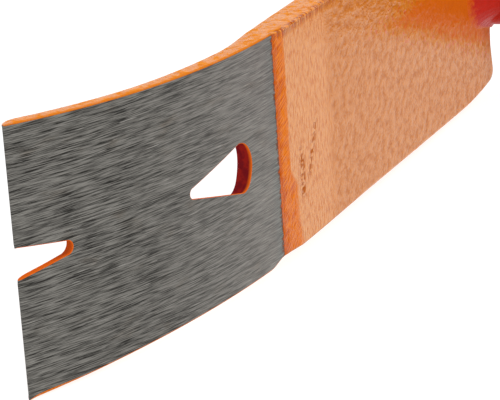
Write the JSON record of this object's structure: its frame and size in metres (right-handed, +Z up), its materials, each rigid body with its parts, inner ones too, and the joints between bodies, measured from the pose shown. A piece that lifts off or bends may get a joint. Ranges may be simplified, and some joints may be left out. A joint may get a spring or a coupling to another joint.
{
  "type": "pry bar",
  "caption": "Pry bar with a wide ground blade, V notch and keyhole nail slot, welded square to a round shank with a ribbed grip and a striking cap.",
  "frame": {"origin": "under the middle of the tool's bounding box, on the ground that it lies on", "axes": "+Y along the shank from the blade towards the striking cap, +Z up across the blade's width, the blade leaving its heel towards +X"},
  "size_m": [0.1928, 0.386, 0.0457],
  "materials": {
    "orange_paint": "semi-gloss powder coat with a fine orange-peel surface, ground back to bare streaked steel over the blade's end",
    "plated_steel": "satin zinc plate, turned",
    "hard_plastic": "fine moulded texture",
    "orange_plastic": "satin moulded plastic",
    "grip_rubber": "matt moulded rubber with round ribs",
    "forged_steel": "turned and lightly oiled, dark, with brighter edges"
  },
  "bodies": {
    "root": {"blade": "orange_paint", "shank": "orange_paint", "root_weld": "orange_paint", "front_collar": "plated_steel", "grip_core": "hard_plastic", "grip_band_front": "orange_plastic", "grip_sleeve": "grip_rubber", "grip_band_rear": "orange_plastic", "pommel": "grip_rubber", "cap_washer": "plated_steel", "strike_cap": "forged_steel", "cap_pin": "forged_steel"}
  },
  "joints": []
}
